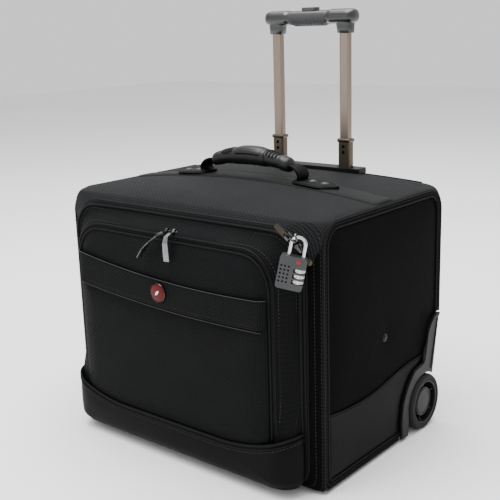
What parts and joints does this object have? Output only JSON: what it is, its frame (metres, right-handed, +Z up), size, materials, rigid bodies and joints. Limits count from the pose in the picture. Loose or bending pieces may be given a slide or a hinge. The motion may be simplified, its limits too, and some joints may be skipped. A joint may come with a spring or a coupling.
{
  "type": "rolling laptop case",
  "caption": "Soft-sided rolling laptop case: zipped front door with a pocket, telescopic handle, carry handle, rear wheels and a hanging combination padlock.",
  "frame": {"origin": "centre of the case's footprint box, on the ground plane that the wheels and front feet stand on", "axes": "+Z up along the trolley handle, -Y out of the front door, +X to the right seen from the front"},
  "size_m": [0.433, 0.3448, 0.566],
  "materials": {
    "nylon": "coarse black ballistic nylon weave",
    "leatherette": "black grained leatherette, satin",
    "lining": "grey woven lining",
    "black_plastic": "black moulded plastic, fine texture",
    "grey_rubber": "dark grey rubber, matte",
    "wheel_plastic": "dark grey moulded plastic",
    "grip_plastic": "black moulded plastic, satin gloss",
    "champagne_tube": "champagne anodised, brushed along the tube",
    "steel": "turned steel",
    "gunmetal": "dark bronze plated, worn edges",
    "chrome": "polished",
    "lock_grey": "satin dark grey cast zinc",
    "dial_white": "white moulded dials",
    "badge_red": "plain red enamel"
  },
  "bodies": {
    "case": {"top_panel": "nylon", "base_panel": "leatherette", "side_panel_left": "nylon", "side_panel_right": "nylon", "front_frame": "nylon", "back_cover": "leatherette", "inner_back_wall": "lining", "top_band": "leatherette", "handle_bezel": "black_plastic", "outer_tube_left": "champagne_tube", "outer_tube_right": "champagne_tube", "tube_foot_bracket": "black_plastic", "rear_skid_plate": "black_plastic", "wheel_housing_left": "black_plastic", "wheel_housing_right": "black_plastic", "axle_left": "steel", "axle_right": "steel", "front_foot_left": "grey_rubber", "front_foot_right": "grey_rubber", "side_rivet_left": "gunmetal", "side_rivet_right": "gunmetal", "handle_anchor_left": "black_plastic", "handle_anchor_right": "black_plastic"},
    "middle_stage": {"middle_tube_left": "champagne_tube", "middle_tube_right": "champagne_tube"},
    "inner_stage": {"inner_tube_left": "champagne_tube", "inner_tube_right": "champagne_tube", "grip_shell": "grip_plastic", "grip_sleeve": "grey_rubber"},
    "release_button": {"release_button": "grip_plastic"},
    "carry_handle": {"carry_grip": "grip_plastic", "carry_strap_left": "leatherette", "carry_strap_right": "leatherette"},
    "wheel_left": {"tyre_left": "grey_rubber", "hub_left": "wheel_plastic", "bearing_left": "steel"},
    "wheel_right": {"tyre_right": "grey_rubber", "hub_right": "wheel_plastic", "bearing_right": "steel"},
    "door": {"door_panel": "nylon", "pocket_gusset": "nylon", "kick_band": "leatherette"},
    "pocket_flap": {"pocket_front": "nylon", "slip_pocket": "nylon", "badge": "badge_red"},
    "main_slider_upper": {"main_slider_upper": "gunmetal"},
    "main_slider_lower": {"main_slider_lower": "gunmetal"},
    "main_puller_upper": {"main_puller_upper": "gunmetal"},
    "main_puller_lower": {"main_puller_lower": "gunmetal"},
    "pocket_slider_left": {"pocket_slider_left": "gunmetal"},
    "pocket_slider_right": {"pocket_slider_right": "gunmetal"},
    "pocket_puller_left": {"pocket_puller_left": "gunmetal"},
    "pocket_puller_right": {"pocket_puller_right": "gunmetal"},
    "lock_shackle": {"lock_shackle": "chrome"},
    "lock_body": {"lock_body": "lock_grey"},
    "lock_dial_1": {"lock_dial_1": "dial_white"},
    "lock_dial_2": {"lock_dial_2": "dial_white"},
    "lock_dial_3": {"lock_dial_3": "dial_white"},
    "lock_key_cylinder": {"lock_key_cylinder": "steel"}
  },
  "joints": [
    {"name": "middle_stage_slide", "type": "slide", "parent": "case", "child": "middle_stage", "axis": [0, 0, 1], "range_m": [-0.035, 0.17]},
    {"name": "inner_stage_slide", "type": "slide", "parent": "middle_stage", "child": "inner_stage", "axis": [0, 0, 1], "range_m": [-0.14, 0.085]},
    {"name": "release_button_press", "type": "slide", "parent": "inner_stage", "child": "release_button", "axis": [0, 0, -1], "range_m": [0, 0.004], "stiffness_N_per_m": 400, "springref_m": -0.002},
    {"name": "carry_handle_tilt", "type": "hinge", "parent": "case", "child": "carry_handle", "pos_m": [0, 0.02099, 0.3515], "axis": [1, 0, 0], "range_deg": [-20, 20], "stiffness_Nm_per_rad": 0.6},
    {"name": "wheel_left_spin", "type": "hinge", "parent": "case", "child": "wheel_left", "pos_m": [-0.2055, 0.11599, 0.0385], "axis": [1, 0, 0], "continuous": true},
    {"name": "wheel_right_spin", "type": "hinge", "parent": "case", "child": "wheel_right", "pos_m": [0.2055, 0.11599, 0.0385], "axis": [1, 0, 0], "continuous": true},
    {"name": "door_open", "type": "hinge", "parent": "case", "child": "door", "pos_m": [0, -0.12521, 0.0096], "axis": [1, 0, 0], "range_deg": [0, 90]},
    {"name": "pocket_open", "type": "hinge", "parent": "door", "child": "pocket_flap", "pos_m": [0, -0.15932, 0.0543], "axis": [1, 0, 0], "range_deg": [0, 60]},
    {"name": "main_slider_upper_travel", "type": "hinge", "parent": "door", "child": "main_slider_upper", "pos_m": [0.149, -0.13101, 0.278], "axis": [0, 1, 0], "range_deg": [-35, 0]},
    {"name": "main_slider_lower_travel", "type": "hinge", "parent": "door", "child": "main_slider_lower", "pos_m": [0.149, -0.13101, 0.278], "axis": [0, 1, 0], "range_deg": [-35, 0]},
    {"name": "main_puller_upper_swing", "type": "hinge", "parent": "main_slider_upper", "child": "main_puller_upper", "pos_m": [0.17732, -0.13612, 0.31425], "axis": [0.6, 0, 0.8], "range_deg": [0, 100]},
    {"name": "main_puller_lower_swing", "type": "hinge", "parent": "main_slider_lower", "child": "main_puller_lower", "pos_m": [0.19259, -0.13603, 0.30397], "axis": [-0.7146, -0.3613, -0.599], "range_deg": [0, 5]},
    {"name": "pocket_slider_left_travel", "type": "slide", "parent": "pocket_flap", "child": "pocket_slider_left", "axis": [-1, 0, 0], "range_m": [0, 0.105]},
    {"name": "pocket_slider_right_travel", "type": "slide", "parent": "pocket_flap", "child": "pocket_slider_right", "axis": [1, 0, 0], "range_m": [0, 0.095]},
    {"name": "pocket_puller_left_lift", "type": "hinge", "parent": "pocket_slider_left", "child": "pocket_puller_left", "pos_m": [0, -0.14566, 0.3031], "axis": [1, 0, 0], "range_deg": [-120, 0]},
    {"name": "pocket_puller_right_lift", "type": "hinge", "parent": "pocket_slider_right", "child": "pocket_puller_right", "pos_m": [0.012, -0.14566, 0.3031], "axis": [1, 0, 0], "range_deg": [-120, 0]},
    {"name": "lock_swing", "type": "hinge", "parent": "main_slider_upper", "child": "lock_shackle", "pos_m": [0.19376, -0.14613, 0.3179], "axis": [-0.7263, -0.4193, -0.5446], "range_deg": [0, 60]},
    {"name": "lock_release", "type": "slide", "parent": "lock_shackle", "child": "lock_body", "axis": [-0.1801, -0.104, -0.9781], "range_m": [0, 0.007]},
    {"name": "lock_dial_1_turn", "type": "hinge", "parent": "lock_body", "child": "lock_dial_1", "pos_m": [0.19857, -0.14336, 0.28221], "axis": [0.1801, 0.104, 0.9781], "continuous": true},
    {"name": "lock_dial_2_turn", "type": "hinge", "parent": "lock_body", "child": "lock_dial_2", "pos_m": [0.19742, -0.14402, 0.27595], "axis": [0.1801, 0.104, 0.9781], "continuous": true},
    {"name": "lock_dial_3_turn", "type": "hinge", "parent": "lock_body", "child": "lock_dial_3", "pos_m": [0.19627, -0.14469, 0.26969], "axis": [0.1801, 0.104, 0.9781], "continuous": true},
    {"name": "lock_key_turn", "type": "hinge", "parent": "lock_body", "child": "lock_key_cylinder", "pos_m": [0.18115, -0.15341, 0.26307], "axis": [0.1801, 0.104, 0.9781], "range_deg": [0, 90]}
  ],
  "couplings": [
    {"joint": "main_slider_lower_travel", "follows": "main_slider_upper_travel", "ratio": 1}
  ]
}
